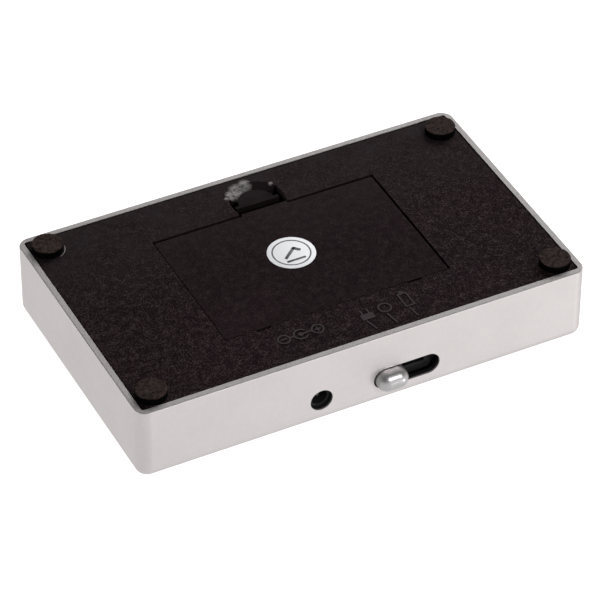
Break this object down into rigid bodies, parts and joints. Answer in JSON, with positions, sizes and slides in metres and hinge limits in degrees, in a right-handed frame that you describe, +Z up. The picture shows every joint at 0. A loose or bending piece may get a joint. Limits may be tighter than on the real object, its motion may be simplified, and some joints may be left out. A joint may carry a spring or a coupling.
{
  "type": "lighted display base",
  "caption": "Flat box with a mirror top that lights a displayed piece from below, with a rear slide switch, adapter socket and a hinged battery door underneath.",
  "frame": {"origin": "on the surface that the feet stand on, under the middle of the whole object, which the switch knob makes 4.4 mm longer at the rear", "axes": "+Z up through the mirror top, +X along the long side, +Y to the rear wall with the socket and switch"},
  "size_m": [0.15, 0.0944, 0.0281],
  "materials": {
    "silver_shell": "black moulded plastic, silver paint outside",
    "black_plate": "black moulded plastic with a fine spark texture",
    "black_door": "black moulded plastic, fine texture",
    "sticker": "printed paper label, satin",
    "foot_rubber": "matt foam rubber",
    "silver_knob": "silver plated plastic",
    "mirror": "mirror",
    "led_lens": "clear epoxy",
    "board": "green solder mask",
    "chip": "ceramic chip",
    "steel": "zinc plated",
    "blackened_steel": "black passivated steel",
    "switch_plastic": "black moulding",
    "brass": "brass",
    "contact_steel": "nickel plated",
    "cell_jacket": "printed film on a steel can",
    "red_wire": "soft vinyl",
    "black_wire": "soft vinyl"
  },
  "bodies": {
    "case": {"top_shell": "silver_shell", "bottom_plate": "black_plate", "mirror_plate": "mirror", "leds": "led_lens", "led_board": "board", "led_resistors": "chip", "board_screws": "steel", "case_screws": "steel", "switch_screws": "steel", "switch_frame": "blackened_steel", "switch_base": "switch_plastic", "switch_terminals": "brass", "socket_body": "switch_plastic", "socket_pin": "brass", "socket_spring": "brass", "negative_contact": "contact_steel", "bridge_contact_left": "contact_steel", "bridge_contact_right": "contact_steel", "positive_contact": "contact_steel", "battery_1": "cell_jacket", "battery_2": "cell_jacket", "battery_3": "cell_jacket", "battery_lead_red": "red_wire", "socket_lead_red": "red_wire", "board_lead_red": "red_wire", "battery_lead_black": "black_wire", "socket_lead_black": "black_wire", "foot_front_left": "foot_rubber", "foot_front_right": "foot_rubber", "foot_rear_left": "foot_rubber", "foot_rear_right": "foot_rubber"},
    "selector": {"slide_knob": "silver_knob", "switch_slider": "switch_plastic", "slide_contact": "brass"},
    "door": {"battery_door": "black_door", "inspection_sticker": "sticker"},
    "latch": {"latch_tongue": "black_door"}
  },
  "joints": [
    {"name": "selector_slide", "type": "slide", "parent": "case", "child": "selector", "axis": [1, 0, 0], "range_m": [0, 0.0112]},
    {"name": "battery_door_hinge", "type": "hinge", "parent": "case", "child": "door", "pos_m": [0, 0.02325, 0.0026], "axis": [1, 0, 0], "range_deg": [0, 75]},
    {"name": "latch_flex", "type": "hinge", "parent": "door", "child": "latch", "pos_m": [0, -0.0304, 0.01265], "axis": [1, 0, 0], "range_deg": [0, 6], "stiffness_Nm_per_rad": 0.3}
  ]
}
